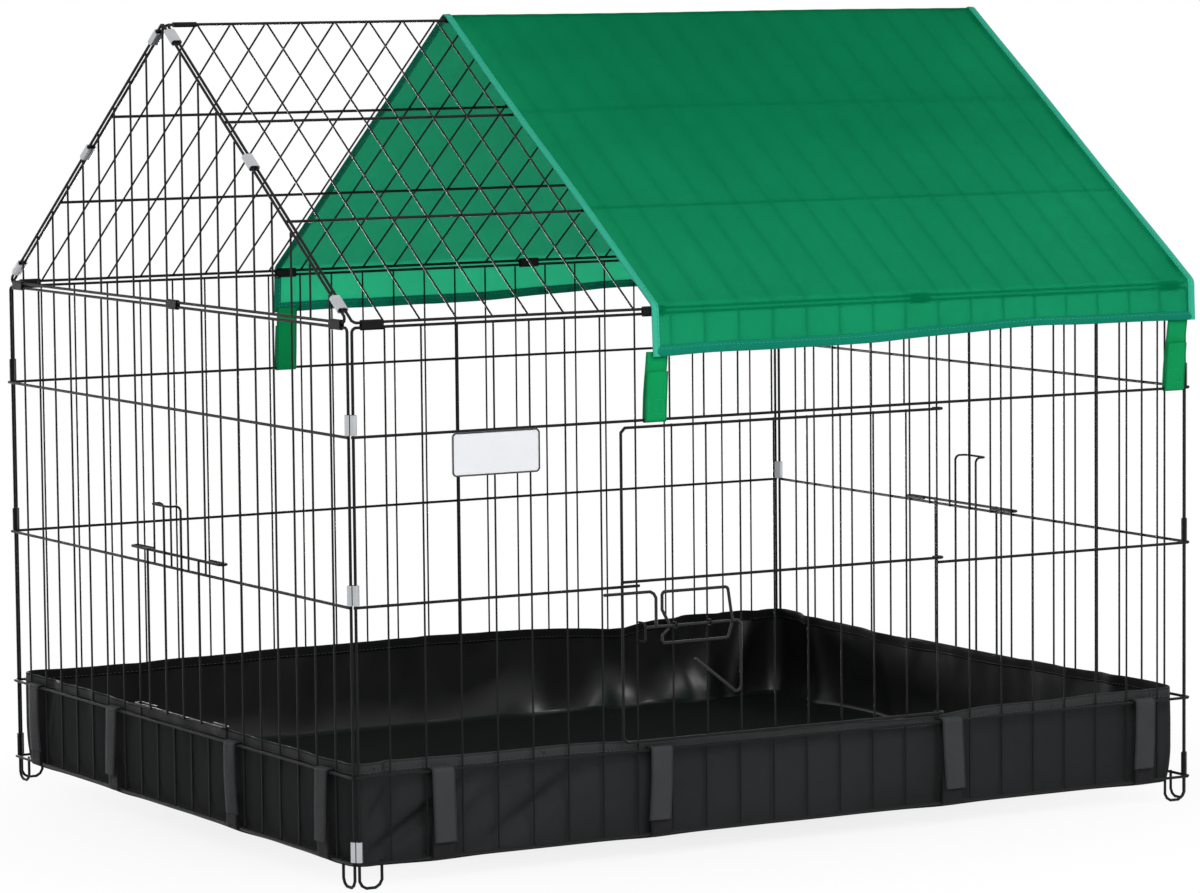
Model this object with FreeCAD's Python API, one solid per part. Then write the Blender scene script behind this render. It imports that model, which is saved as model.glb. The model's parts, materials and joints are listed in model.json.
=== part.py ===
import FreeCAD, Part
import math
import os

# Small animal cage of welded wire panels with a pitched roof, a fabric tray and a roof cover.
# Millimetres, +Z up, +X along the long side, front wall towards -Y.
# The origin is on the floor at the centre of the four corner posts.

Vector = FreeCAD.Vector

# Overall sizes, measured on the planes where rails meet uprights
width = 1000.0
depth = 830.0
wall_top = 550.0
ridge_height = 840.0

# Heights of the wall rails
bottom_rail = 26.0
low_rail = 111.0
middle_rail = 278.0
upper_rail = 444.0

# Wire diameters, measured across flats, because each wire is a prism with few sides
frame_wire = 2.8
rail_wire = 2.8
upright_wire = 1.9
wire_sides = 8
upright_sides = 6

# Largest single turn in a bend, in degrees
wire_turn = 30
tight_turn = 45
sheet_turn = 15

# Spaces between uprights along the long walls and the end walls
front_spaces = 25
end_spaces = 20

# Clearances: pieces that rest against each other, and pieces that move past each other
rest_gap = 0.3
moving_gap = 0.4
cut_overrun = 5.0
same_point = 1e-6

# Wall frames: foot loops, rounded corners and rail ends
foot_width = 24.5
foot_bend = 10.0
foot_tip = 1.2
wall_corner = 5.0
rail_overhang = 1.8

# Frame wires that share a sleeve lie this far apart, axis to axis
pair_spacing = 4.8

# Roof and gable frames
roof_corner = 5.0
apex_corner = 8.0
gable_corner = 4.0
roof_rail_shares = (1 / 3, 2 / 3)

# Slip-on clips of bent sheet, and hinge sleeves pressed round two wires
clip_length = 20.0
clip_clearance = 1.0
clip_sheet = 1.1
clip_seam = 1.0
hinge_length = 24.0
hinge_clearance = 0.25
hinge_sheet = 1.0

# Places of the sleeves along the edges that they hold
rake_clip_shares = (0.06, 0.523, 0.956)
eave_hinge_end = 26.5
eave_hinge_share = 0.158
gable_hinge_end = 28.0
gable_hinge_middle = 13.5

# Front doorway between two uprights, counted from the left, and its door
door_left_upright = 8
door_right_upright = 17
door_overlap = 20.0
door_top_drop = 6.3
door_bottom_rise = 10.0
door_rod_rise = 5.0
door_corner = 8.0
hook_return = 3.5

# Slide bolt on the front door, drawn back from its keeper
# Its places along the wall are shares of the wire spacing, from the doorway's left upright
bolt_wire = 3.0
bolt_axis = 236.0
bolt_end_share = 0.15
bolt_prong_share = 0.425
bolt_tail_share = 2.9
loop_left_share = 0.6
loop_right_share = 2.525
bolt_tail_drop = 77.0
bolt_tail_width = 54.0
bolt_tail_rise = 42.0
bolt_bend = 5.0
bolt_prong_rise = 36.0
bolt_prong_reach = 60.0
bolt_prong_bend = 9.0
loop_pinch = 8.0
loop_top = 35.0
loop_top_shoulder = 17.0
loop_bottom = 17.0
loop_bottom_shoulder = 9.0
loop_foot = 5.0
loop_bend = 4.0
guide_wire = 2.0
guide_gap = 0.35
keeper_height = 19.0
keeper_drop = 4.5
keeper_room = 1.5
keeper_bend = 4.0

# Lift doors on the end walls between two uprights
lift_left_upright = 8
lift_right_upright = 13
lift_height = 168.0
lift_wire = 2.2
lift_hook_return = 34.0
lift_handle_rise = 53.0
lift_handle_reach = 14.0
lift_handle_bend = 6.0

# Name plate below the upper rail of the front wall
plate_left_margin = 10.0
plate_right_margin = 8.0
plate_height = 43.5
plate_sheet = 1.2
plate_corner = 5.0
plate_border = 1.6
plate_border_proud = 0.4
plate_hang = 1.0
plate_clip_uprights = (3, 5)
plate_clip_width = 7.0
plate_clip_height = 12.0
plate_clip_wall = 1.4

# Fabric tray and its straps
tray_rim = 123.0
tray_base = 20.0
tray_wall = 2.0
tray_inset = 8.7
tray_inset_left = 3.2
tray_corner = 20.0
strap_width = 25.0
strap_sheet = 1.6
strap_bend = 2.5
flap_end = 40.0
tab_end = 60.0
front_strap_shares = (0.095, 0.344, 0.694, 0.94)
end_strap_outer_space = 1
end_strap_inner_space = 6

# Roof cover and its straps
cover_left_share = 0.343
cover_overhang = 4.0
cover_sheet = 1.2
cover_lift = 3.9
cover_stand_off = 1.6
cover_hem_share = 0.706
cover_eave_bend = 4.0
cover_ridge_bend = 8.0

# Cover straps: places as shares of the width, turns as shares of the valance and of the drop to the rail
cover_strap_sheet = 1.2
cover_strap_bend = 1.2
cover_strap_left_share = 0.341
cover_strap_right_share = 0.977
cover_strap_sewn_share = 0.58
cover_strap_hem_share = 0.84
cover_strap_straight_share = 0.36
cover_strap_return_share = 0.63

# Worked out from the sizes above
front_half = width / 2
end_half = depth / 2
front_pitch = width / front_spaces
end_pitch = depth / end_spaces
post_inset = frame_wire / 2 + pair_spacing / math.sqrt(2)
rail_end_inset = post_inset - frame_wire / 2 - rail_overhang
rail_y = -rail_wire / 2
upright_y = upright_wire / 2
frame_y = frame_wire / 2
upright_half = upright_wire / 2 / math.cos(math.pi / upright_sides)
door_y = -(rail_wire + moving_gap + frame_wire / 2)
hook_y = upright_wire + rest_gap + frame_wire / 2
hook_bend = (hook_y - door_y) / 2
door_upright_y = door_y + frame_wire / 2 + upright_wire / 2
bolt_y = door_y - frame_wire / 2 - moving_gap - bolt_wire / 2
eave_z = wall_top + pair_spacing
hinge_under = wall_top - frame_wire / 2 - hinge_clearance - hinge_sheet
cover_hem = upper_rail + cover_hem_share * (hinge_under - upper_rail)
cover_left = (cover_left_share - 0.5) * width
cover_right = front_half + cover_overhang
bolt_start = door_left_upright * front_pitch - front_half
bolt_end = bolt_start + bolt_end_share * front_pitch
bolt_prong_x = bolt_start + bolt_prong_share * front_pitch
bolt_tail_x = bolt_start + bolt_tail_share * front_pitch
loop_left = bolt_start + loop_left_share * front_pitch
loop_right = bolt_start + loop_right_share * front_pitch
plate_left = plate_clip_uprights[0] * front_pitch - front_half - plate_left_margin
plate_right = plate_clip_uprights[-1] * front_pitch - front_half + plate_right_margin
guide_uprights = (door_left_upright + 1, door_left_upright + 2)
lift_handle_uprights = (lift_left_upright + 2, lift_right_upright - 2)
ridge_y = pair_spacing / 2
roof_run = end_half - frame_y - ridge_y
roof_rise = ridge_height - eave_z
roof_length = math.hypot(roof_run, roof_rise)
slope_run = roof_run / roof_length
slope_rise = roof_rise / roof_length
slope_tan = roof_rise / roof_run
roof_half = front_half - frame_y - pair_spacing


def upright_x(number, half, pitch):
    """Place of an upright, counted from the left end of its wall."""
    return number * pitch - half


def place(shape, turn, distance):
    """Move a panel from its own frame to its side of the cage.

    In its own frame a panel stands on y = 0, seen from outside, with +Y into the cage.
    """
    placed = shape.copy()
    placed.translate(Vector(0, -distance, 0))
    placed.rotate(Vector(0, 0, 0), Vector(0, 0, 1), turn)
    return placed


def on_front(shape):
    return place(shape, 0, end_half)


def on_right(shape):
    return place(shape, 90, front_half)


def on_back(shape):
    return place(shape, 180, end_half)


def on_left(shape):
    return place(shape, 270, front_half)


def chorded(points, bends, closed=False, largest_turn=wire_turn):
    """The points with each corner rounded to its bend radius, as equal turns that touch the arc."""
    count = len(points)
    ends = () if closed else (0, count - 1)
    radii = iter(bends if isinstance(bends, (list, tuple)) else [bends] * count)
    path = []
    for index, corner in enumerate(points):
        if index in ends:
            path.append(corner)
            continue
        into = (corner - points[index - 1]).normalize()
        out = (points[(index + 1) % count] - corner).normalize()
        turn = into.getAngle(out)
        bend = next(radii)
        start = corner - into * (bend * math.tan(turn / 2))
        centre = corner + (out - into).normalize() * (bend / math.cos(turn / 2))
        steps = math.ceil(math.degrees(turn) / largest_turn - same_point)
        reach = (start - centre) / math.cos(turn / 2 / steps)
        for step in range(steps):
            spin = FreeCAD.Rotation(into.cross(out), math.degrees(turn) * (step + 0.5) / steps)
            path.append(centre + spin.multVec(reach))
    return path


def polygon_face(points):
    return Part.Face(Part.makePolygon(list(points) + [points[0]]))


def wire_section(centre, along, diameter, sides, facing):
    """Corners of a wire's regular section, one pair of flats square to the facing direction."""
    first = facing - along * facing.dot(along)
    if first.Length < same_point:
        first = Vector(0, 0, 1) - along * along.z
    first.normalize()
    second = along.cross(first)
    reach = diameter / 2 / math.cos(math.pi / sides)
    turns = [math.tau * (corner + 0.5) / sides for corner in range(sides)]
    return [centre + (first * math.cos(turn) + second * math.sin(turn)) * reach for turn in turns]


def straight_wire(start, end, diameter, sides=upright_sides, facing=Vector(0, 1, 0)):
    run = end - start
    along = Vector(run).normalize()
    return polygon_face(wire_section(start, along, diameter, sides, facing)).extrude(run)


def bent_wire(points, bends, diameter, closed=False, facing=Vector(0, 1, 0), sides=wire_sides,
              largest_turn=wire_turn):
    """One wire bent along the points: straight prisms, mitred where they meet."""
    path = chorded(points, bends, closed, largest_turn)
    count = len(path)
    runs = count if closed else count - 1
    ways = [(path[(index + 1) % count] - path[index]).normalize() for index in range(runs)]
    section = wire_section((path[0] + path[1]) / 2, ways[0], diameter, sides, facing)

    def mitred(corners, index, before, after):
        normal = before + after
        return [corner + before * ((path[index % count] - corner).dot(normal) / before.dot(normal))
                for corner in corners]

    first = mitred(section, 0, ways[0], ways[-1] if closed else ways[0])
    sections = [first]
    for index in range(1, runs + 1):
        after = ways[index % runs] if closed or index < runs else ways[-1]
        sections.append(mitred(sections[-1], index, ways[index - 1], after))
    faces = []
    for near, far in zip(sections, sections[1:]):
        for side in range(sides):
            faces.append(polygon_face([near[side - 1], near[side], far[side], far[side - 1]]))
    if not closed:
        faces += [polygon_face(sections[0]), polygon_face(sections[-1])]
    shell = Part.makeCompound(faces)
    shell.sewShape()
    solid = Part.makeSolid(shell.Shells[0])
    if solid.Volume < 0:
        solid.reverse()
    return solid


def strip(points, bends, thickness, left, right, largest_turn):
    """A sheet of one thickness that follows (y, z) points, between two x places."""
    path = chorded([Vector(left, y, z) for y, z in points], bends, largest_turn=largest_turn)
    ways = [(after - before).normalize() for before, after in zip(path, path[1:])]
    normals = [Vector(0, -way.z, way.y) for way in ways]
    near, far = [], []
    for point, before, after in zip(path, normals[:1] + normals, normals + normals[-1:]):
        mitre = (before + after) * (thickness / 2 / (1 + before.dot(after)))
        near.append(point + mitre)
        far.append(point - mitre)
    return polygon_face(near + far[::-1]).extrude(Vector(right - left, 0, 0))


def pair_outline(radius):
    """Face round two wires side by side along x: a wire's section, drawn out by their spacing."""
    reach = radius / math.cos(math.pi / wire_sides)
    turns = [math.tau * (corner + 0.5) / wire_sides for corner in range(wire_sides)]
    half = pair_spacing / 2
    return polygon_face([
        Vector(math.copysign(half, math.cos(turn)) + reach * math.cos(turn), reach * math.sin(turn), 0)
        for turn in turns])


def sleeve(length, clearance, sheet, seam=0):
    """A sleeve round a pair of frame wires, its length along z and centred on the origin."""
    inner = frame_wire / 2 + clearance
    section = pair_outline(inner + sheet).cut(pair_outline(inner))
    solid = section.extrude(Vector(0, 0, length)).Solids[0]
    if seam:
        slot = Part.makeBox(seam, inner + sheet + cut_overrun, length + 2 * cut_overrun)
        slot.translate(Vector(-seam / 2, 0, -cut_overrun))
        solid = solid.cut(slot).Solids[0]
    solid.translate(Vector(0, 0, -length / 2))
    return solid


def clip():
    return sleeve(clip_length, clip_clearance, clip_sheet, clip_seam)


def hinge():
    return sleeve(hinge_length, hinge_clearance, hinge_sheet)


def fit_sleeve(shape, centre, pair, along):
    """Set a sleeve with its two wires side by side along pair, and its length along along."""
    fitted = shape.copy()
    turn = FreeCAD.Rotation(pair, along.cross(pair), along, "ZXY")
    fitted.Placement = FreeCAD.Placement(centre, turn).multiply(fitted.Placement)
    return fitted


def wall_frame(half):
    """Posts, top rod and the two foot loops of a wall, bent from one wire."""
    left = post_inset - half
    right = half - post_inset
    sole = frame_wire / 2
    tip = bottom_rail + rail_wire / 2 + foot_tip
    points = [
        Vector(left + foot_width, frame_y, tip),
        Vector(left + foot_width, frame_y, sole),
        Vector(left, frame_y, sole),
        Vector(left, frame_y, wall_top),
        Vector(right, frame_y, wall_top),
        Vector(right, frame_y, sole),
        Vector(right - foot_width, frame_y, sole),
        Vector(right - foot_width, frame_y, tip),
    ]
    bends = [foot_bend, foot_bend, wall_corner, wall_corner, foot_bend, foot_bend]
    return bent_wire(points, bends, frame_wire)


def wall_uprights(half, spaces, opening, sill, lintel, pin=None):
    """Uprights of a wall; those inside the opening stop at its sill and its lintel rails.

    The upright that a door turns on, its pin, is truly round.
    """
    foot = bottom_rail - rail_wire / 2
    head = wall_top - frame_wire / 2
    wires = []
    for number in range(1, spaces):
        x = upright_x(number, half, 2 * half / spaces)
        spans = [(foot, head)]
        if opening and opening[0] < number < opening[1]:
            spans = [(foot, sill + rail_wire / 2), (lintel - rail_wire / 2, head)]
        for low, high in spans:
            bottom = Vector(x, upright_y, low)
            if number == pin:
                wires.append(Part.makeCylinder(upright_wire / 2, high - low, bottom))
            else:
                wires.append(straight_wire(bottom, Vector(x, upright_y, high), upright_wire))
    return wires


def wall_rail(left, right, z):
    return straight_wire(Vector(left, rail_y, z), Vector(right, rail_y, z), rail_wire, wire_sides)


def long_wall_wires(with_doorway):
    """Rails and uprights of the front or back wall. The doorway interrupts some of them."""
    end = front_half - rail_end_inset
    rails = [wall_rail(-end, end, z) for z in (bottom_rail, low_rail, upper_rail)]
    opening = None
    if with_doorway:
        opening = (door_left_upright, door_right_upright)
        left_stop = upright_x(door_left_upright, front_half, front_pitch) + rail_overhang
        right_stop = upright_x(door_right_upright, front_half, front_pitch) - rail_overhang
        rails.append(wall_rail(-end, left_stop, middle_rail))
        rails.append(wall_rail(right_stop, end, middle_rail))
    else:
        rails.append(wall_rail(-end, end, middle_rail))
    pin = door_right_upright if with_doorway else None
    uprights = wall_uprights(front_half, front_spaces, opening, low_rail, upper_rail, pin)
    return Part.makeCompound(uprights + rails)


def end_wall_wires():
    """Rails and uprights of an end wall, open for the lift door between the low and the middle rail."""
    end = end_half - rail_end_inset
    rails = [wall_rail(-end, end, z) for z in (bottom_rail, low_rail, middle_rail, upper_rail)]
    opening = (lift_left_upright, lift_right_upright)
    uprights = wall_uprights(end_half, end_spaces, opening, low_rail, middle_rail)
    return Part.makeCompound(uprights + rails)


def gable():
    """Frame of the triangle above an end wall, and its uprights in line with the wall's."""
    foot = end_half - frame_y
    apex = eave_z + foot * slope_tan
    corners = [Vector(foot, frame_y, eave_z), Vector(0, frame_y, apex), Vector(-foot, frame_y, eave_z)]
    bends = [gable_corner, apex_corner, gable_corner]
    frame = bent_wire(corners, bends, frame_wire, closed=True, largest_turn=tight_turn)
    apex_top = max(point.z for point in chorded(corners, bends, True, tight_turn))
    under_rake = frame_wire / 2 / slope_run + upright_half * slope_tan
    base = eave_z + frame_wire / 2
    wires = []
    for number in range(1, end_spaces):
        x = upright_x(number, end_half, end_pitch)
        head = min(apex - abs(x) * slope_tan - under_rake, apex_top - frame_wire / 2)
        wires.append(straight_wire(Vector(x, frame_y, base), Vector(x, frame_y, head), upright_wire))
    return frame, Part.makeCompound(wires)


def on_slope(x, along, above):
    """A point of the front roof slope: along it from the eave rod's axis, and above that axis."""
    y = frame_y + along * slope_run - above * slope_rise
    z = eave_z + along * slope_rise + above * slope_run
    return Vector(x, y, z)


def roof():
    """Frame of one roof slope, and its wires: straight up the slope, with two cross rails below them."""
    square = on_slope(0, 0, 1) - on_slope(0, 0, 0)
    corners = [on_slope(-roof_half, 0, 0), on_slope(roof_half, 0, 0),
               on_slope(roof_half, roof_length, 0), on_slope(-roof_half, roof_length, 0)]
    frame = bent_wire(corners, roof_corner, frame_wire, closed=True, facing=square)
    wire_level = (upright_wire - frame_wire) / 2
    rail_level = -(frame_wire + rail_wire) / 2
    rail_end = roof_half + frame_wire / 2 + foot_tip
    wires = []
    for number in range(1, front_spaces):
        x = upright_x(number, front_half, front_pitch)
        low = on_slope(x, frame_wire / 2, wire_level)
        high = on_slope(x, roof_length - frame_wire / 2, wire_level)
        wires.append(straight_wire(low, high, upright_wire, facing=square))
    for share in roof_rail_shares:
        along = share * roof_length
        low, high = (on_slope(end, along, rail_level) for end in (-rail_end, rail_end))
        wires.append(straight_wire(low, high, rail_wire, wire_sides, square))
    return frame, Part.makeCompound(wires)


def front_door():
    """Door of one bent wire hooked on its hinge upright, a middle rod and uprights behind."""
    hinge_x = upright_x(door_right_upright, front_half, front_pitch)
    left = upright_x(door_left_upright, front_half, front_pitch) - door_overlap
    top = upper_rail - door_top_drop
    low = low_rail + door_bottom_rise
    middle = middle_rail + door_rod_rise
    hook = hinge_x + hook_bend

    def hook_points(z):
        return [Vector(hook, door_y, z), Vector(hook, hook_y, z), Vector(hinge_x - hook_return, hook_y, z)]

    points = hook_points(top)[::-1]
    points += [Vector(left, door_y, top), Vector(left, door_y, low)]
    points += hook_points(low)
    bends = [hook_bend, hook_bend, door_corner, door_corner, hook_bend, hook_bend]
    frame = bent_wire(points, bends, frame_wire, largest_turn=tight_turn)
    rod_points = [Vector(left + frame_wire / 2, door_y, middle)] + hook_points(middle)
    rod = bent_wire(rod_points, hook_bend, frame_wire, largest_turn=tight_turn)
    wires = []
    for number in range(door_left_upright + 1, door_right_upright):
        x = upright_x(number, front_half, front_pitch)
        foot = Vector(x, door_upright_y, low - frame_wire / 2)
        head = Vector(x, door_upright_y, top + frame_wire / 2)
        wires.append(straight_wire(foot, head, upright_wire))
    return frame, rod, Part.makeCompound(wires)


def front_bolt():
    """Sliding rod with its tail, and the prong welded on it."""
    tail_z = bolt_axis - bolt_tail_drop
    rod = bent_wire([
        Vector(bolt_end, bolt_y, bolt_axis),
        Vector(bolt_tail_x, bolt_y, bolt_axis),
        Vector(bolt_tail_x, bolt_y, tail_z),
        Vector(bolt_tail_x - bolt_tail_width, bolt_y, tail_z + bolt_tail_rise),
    ], bolt_bend, bolt_wire)
    prong_z = bolt_axis + bolt_prong_rise
    prong = bent_wire([
        Vector(bolt_prong_x, bolt_y, bolt_axis + bolt_wire / 2),
        Vector(bolt_prong_x, bolt_y, prong_z),
        Vector(bolt_prong_x - bolt_prong_reach, bolt_y, prong_z),
    ], bolt_prong_bend, bolt_wire)
    return Part.makeCompound([rod, prong])


def front_bolt_handle():
    """Two finger loops, one above and one below the rod."""
    def foot(way, run, rise):
        """Height at which the slanted end of a loop just meets the rod."""
        return bolt_axis + way * bolt_wire / 2 * (1 + run / math.hypot(run, rise - bolt_wire))

    def finger_loop(way, reach, shoulder):
        far = bolt_axis + way * reach
        return bent_wire([
            Vector(loop_left + loop_pinch, bolt_y, foot(way, loop_pinch, shoulder)),
            Vector(loop_left, bolt_y, bolt_axis + way * shoulder),
            Vector(loop_left, bolt_y, far),
            Vector(loop_right, bolt_y, far),
            Vector(loop_right + loop_foot, bolt_y, foot(way, loop_foot, reach)),
        ], loop_bend, bolt_wire)

    upper = finger_loop(1, loop_top, loop_top_shoulder)
    lower = finger_loop(-1, loop_bottom, loop_bottom_shoulder)
    return Part.makeCompound([upper, lower])


def bolt_guides():
    """Staples on two door uprights that carry the bolt."""
    half = bolt_wire / 2 + guide_gap + guide_wire / 2
    base = door_upright_y - upright_wire / 2
    staples = []
    for number in guide_uprights:
        x = upright_x(number, front_half, front_pitch)
        staples.append(bent_wire([
            Vector(x, base, bolt_axis + half),
            Vector(x, bolt_y - half, bolt_axis + half),
            Vector(x, bolt_y - half, bolt_axis - half),
            Vector(x, base, bolt_axis - half),
        ], half, guide_wire, sides=upright_sides))
    return Part.makeCompound(staples)


def bolt_keeper():
    """Loop on the doorway's left upright that takes the end of the bolt."""
    x = upright_x(door_left_upright, front_half, front_pitch) + upright_half + guide_wire / 2
    middle = bolt_axis - keeper_drop
    front = bolt_y - bolt_wire / 2 - keeper_room - guide_wire / 2
    half = keeper_height / 2
    return bent_wire([
        Vector(x, upright_y, middle + half),
        Vector(x, front, middle + half),
        Vector(x, front, middle - half),
        Vector(x, upright_y, middle - half),
    ], keeper_bend, guide_wire, facing=Vector(1, 0, 0), sides=upright_sides)


def lift_door(low):
    """Door that slides up its two edge uprights; the middle uprights run up into a finger loop."""
    left = upright_x(lift_left_upright, end_half, end_pitch)
    right = upright_x(lift_right_upright, end_half, end_pitch)

    def hooked_rod(z):
        return bent_wire([
            Vector(left + lift_hook_return, hook_y, z),
            Vector(left - hook_bend, hook_y, z),
            Vector(left - hook_bend, door_y, z),
            Vector(right + hook_bend, door_y, z),
            Vector(right + hook_bend, hook_y, z),
            Vector(right - lift_hook_return, hook_y, z),
        ], hook_bend, frame_wire, largest_turn=tight_turn)

    high = low + lift_height
    wire_y = door_y - frame_wire / 2 - lift_wire / 2
    foot = low - frame_wire / 2
    head = high + frame_wire / 2
    wires = []
    for number in range(lift_left_upright + 1, lift_right_upright):
        if number not in lift_handle_uprights:
            x = upright_x(number, end_half, end_pitch)
            wires.append(straight_wire(Vector(x, wire_y, foot), Vector(x, wire_y, head), lift_wire))
    first, second = (upright_x(number, end_half, end_pitch) for number in lift_handle_uprights)
    grip_y = wire_y - lift_handle_reach
    grip_z = high + lift_handle_rise
    handle = bent_wire([
        Vector(first, wire_y, foot),
        Vector(first, wire_y, grip_z),
        Vector(first, grip_y, grip_z),
        Vector(second, grip_y, grip_z),
        Vector(second, wire_y, grip_z),
        Vector(second, wire_y, foot),
    ], lift_handle_bend, lift_wire, sides=upright_sides)
    return Part.makeCompound([hooked_rod(low), hooked_rod(high), handle] + wires)


def rounded_plate(left, right, low, high, corner, front, sheet):
    """Flat plate with rounded corners that stands upright, its face towards -Y."""
    points = [Vector(left, front, low), Vector(right, front, low),
              Vector(right, front, high), Vector(left, front, high)]
    return polygon_face(chorded(points, corner, closed=True)).extrude(Vector(0, sheet, 0))


def name_plate():
    """Bare plate with two clips moulded on its back that hold uprights of the wall."""
    back = -(rail_wire + rest_gap)
    high = upper_rail - plate_hang
    low = high - plate_height
    plate = rounded_plate(plate_left, plate_right, low, high, plate_corner, back - plate_sheet, plate_sheet)
    bore = upright_wire / 2 + rest_gap
    clip_depth = upright_wire + rest_gap + plate_clip_wall - back
    clip_low = (low + high - plate_clip_height) / 2
    for number in plate_clip_uprights:
        x = upright_x(number, front_half, front_pitch)
        block = Part.makeBox(plate_clip_width, clip_depth, plate_clip_height)
        block.translate(Vector(x - plate_clip_width / 2, back, clip_low))
        bottom = Vector(x, upright_y, clip_low - cut_overrun)
        top = Vector(x, upright_y, clip_low + plate_clip_height + cut_overrun)
        hole = straight_wire(bottom, top, 2 * bore)
        plate = plate.fuse(block).cut(hole)
    return plate.removeSplitter().Solids[0]


def name_plate_border():
    """Raised border round the plate's face."""
    face = -(rail_wire + rest_gap) - plate_sheet
    high = upper_rail - plate_hang
    low = high - plate_height
    outer = rounded_plate(plate_left, plate_right, low, high, plate_corner, face - plate_border_proud,
                          plate_border_proud)
    inner = rounded_plate(plate_left + plate_border, plate_right - plate_border, low + plate_border,
                          high - plate_border, plate_corner - plate_border,
                          face - plate_border_proud - cut_overrun, plate_border_proud + 2 * cut_overrun)
    return outer.cut(inner).Solids[0]


def tray():
    """Open fabric tray with rounded corners, inside the walls."""
    def rounded_block(inset, low, high):
        left = tray_inset_left - front_half + inset
        right = front_half - tray_inset - inset
        front = tray_inset - end_half + inset
        points = [Vector(left, front, low), Vector(right, front, low),
                  Vector(right, -front, low), Vector(left, -front, low)]
        outline = chorded(points, tray_corner - inset, closed=True, largest_turn=sheet_turn)
        return polygon_face(outline).extrude(Vector(0, 0, high - low))

    outside = rounded_block(0, tray_base, tray_rim)
    inside = rounded_block(tray_wall, tray_base + tray_wall, tray_rim + cut_overrun)
    return outside.cut(inside).Solids[0]


def tray_flap(x, inset):
    """Strap from the tray over the low rail, hanging outside."""
    top = low_rail + rail_wire / 2 + rest_gap + strap_sheet / 2
    outside = -(rail_wire + 2 * rest_gap + 3 * strap_sheet / 2)
    points = [(inset, top), (outside, top), (outside, flap_end)]
    return strip(points, strap_bend, strap_sheet, x - strap_width / 2, x + strap_width / 2, tight_turn)


def tray_tab(x, inset):
    """Strap from the tray's base under the bottom rail, standing up behind the flap."""
    under = bottom_rail - rail_wire / 2 - rest_gap - strap_sheet / 2
    outside = -(rail_wire + rest_gap + strap_sheet / 2)
    points = [(inset, under), (outside, under), (outside, tab_end)]
    return strip(points, strap_bend, strap_sheet, x - strap_width / 2, x + strap_width / 2, tight_turn)


def cover():
    """Fabric over both slopes with a short valance down each long wall."""
    rise = cover_lift + cover_sheet / 2
    stand = -(cover_stand_off + cover_sheet / 2)
    ridge = on_slope(0, (end_half - frame_y + rise * slope_rise) / slope_run, rise)
    eave = on_slope(0, (stand - frame_y + rise * slope_rise) / slope_run, rise)
    points = [(stand, cover_hem), (eave.y, eave.z), (ridge.y, ridge.z),
              (depth - eave.y, eave.z), (depth - stand, cover_hem)]
    bends = [cover_eave_bend, cover_ridge_bend, cover_eave_bend]
    return strip(points, bends, cover_sheet, cover_left, cover_right, sheet_turn)


def cover_strap(x):
    """Strap sewn inside the valance, round the upper rail and back up in front of it."""
    sewn = -(cover_stand_off - rest_gap - cover_strap_sheet / 2)
    behind = rest_gap + cover_strap_sheet / 2
    under = upper_rail - rail_wire / 2 - rest_gap - cover_strap_sheet / 2
    outside = -(rail_wire + rest_gap + cover_strap_sheet / 2)
    drop = cover_hem - upper_rail
    top = cover_hem + cover_strap_sewn_share * (hinge_under - cover_hem)
    points = [(sewn, top), (sewn, upper_rail + cover_strap_hem_share * drop),
              (behind, upper_rail + cover_strap_straight_share * drop), (behind, under),
              (outside, under), (outside, upper_rail + cover_strap_return_share * drop)]
    left = x - strap_width / 2
    return strip(points, cover_strap_bend, cover_strap_sheet, left, left + strap_width, tight_turn)


def corner_sleeves(make, x_side, y_side):
    """Three sleeves round the two posts of a corner, each resting on a rail's end."""
    piece = make()
    length = piece.BoundBox.ZLength
    middle = (post_inset + frame_y) / 2
    x = x_side * (front_half - middle)
    y = y_side * (end_half - middle)
    pair = Vector(x_side, -y_side, 0).normalize()
    sleeves = []
    for rail in (bottom_rail, middle_rail, upper_rail):
        z = rail + rail_wire / 2 + rest_gap + length / 2
        sleeves.append(fit_sleeve(piece, Vector(x, y, z), pair, Vector(0, 0, 1)))
    return Part.makeCompound(sleeves)


def rake_clips(x_side):
    """Three clips that hold one front rake of the roof to its gable."""
    along = Vector(0, slope_run, slope_rise)
    clips = []
    for share in rake_clip_shares:
        centre = on_slope(x_side * (roof_half + pair_spacing / 2), share * roof_length, 0)
        clips.append(fit_sleeve(clip(), centre, Vector(1, 0, 0), along))
    return Part.makeCompound(clips)


def edge_places(half, end, share):
    """Four places along an edge: two near its ends and two between."""
    return (end - half, -share * 2 * half, share * 2 * half, half - end)


def eave_hinges():
    """Sleeves round the wall's top rod and the roof's eave rod."""
    z = wall_top + pair_spacing / 2
    sleeves = []
    for x in edge_places(front_half, eave_hinge_end, eave_hinge_share):
        sleeves.append(fit_sleeve(hinge(), Vector(x, frame_y, z), Vector(0, 0, 1), Vector(1, 0, 0)))
    return Part.makeCompound(sleeves)


def ridge_hinges():
    """Sleeves round the two ridge rods."""
    sleeves = []
    for x in edge_places(front_half, eave_hinge_end, eave_hinge_share):
        sleeves.append(fit_sleeve(hinge(), Vector(x, 0, ridge_height), Vector(0, 1, 0), Vector(1, 0, 0)))
    return Part.makeCompound(sleeves)


def gable_hinges():
    """Sleeves round an end wall's top rod and its gable's base rod."""
    z = wall_top + pair_spacing / 2
    sleeves = []
    for x in (gable_hinge_end - end_half, gable_hinge_middle, end_half - gable_hinge_end):
        sleeves.append(fit_sleeve(hinge(), Vector(x, frame_y, z), Vector(0, 0, 1), Vector(1, 0, 0)))
    return Part.makeCompound(sleeves)


# Heights at which the lift doors come to rest: the left one on the tray's rim, the right one on its rail
left_lift_low = tray_rim + rest_gap + frame_wire / 2
right_lift_low = low_rail + rail_wire / 2 + rest_gap + frame_wire / 2

gable_frame, gable_wires = gable()
roof_frame, roof_wires = roof()
door_frame, door_rod, door_wires = front_door()

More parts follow.
